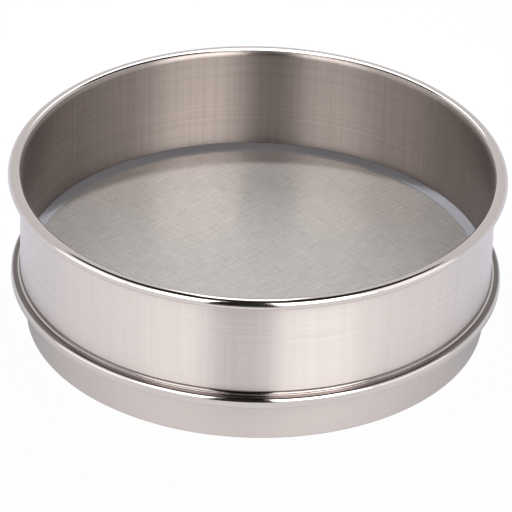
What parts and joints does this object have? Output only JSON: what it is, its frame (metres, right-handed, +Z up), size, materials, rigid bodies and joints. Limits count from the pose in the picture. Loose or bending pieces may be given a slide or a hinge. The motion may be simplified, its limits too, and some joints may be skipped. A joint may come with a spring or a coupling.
{
  "type": "test sieve",
  "caption": "Round test sieve: a spun steel frame with a rolled rim and a seamed bead, wire cloth across it, and a skirt that nests in the sieve below.",
  "frame": {"origin": "centre of the skirt's lower edge, on the surface that the sieve stands on", "axes": "+Z up along the sieve's axis; +X and +Y lie in the plane of the cloth and are equal by symmetry"},
  "size_m": [0.2118, 0.2118, 0.0712],
  "materials": {
    "frame_steel": "satin wall, polished rim and bead",
    "skirt_steel": "plain satin",
    "cloth_steel": "fine plain weave",
    "seal_resin": "smooth grey resin"
  },
  "bodies": {
    "root": {"upper_frame": "frame_steel", "skirt": "skirt_steel", "wire_cloth": "cloth_steel", "seal_fillet": "seal_resin"}
  },
  "joints": []
}
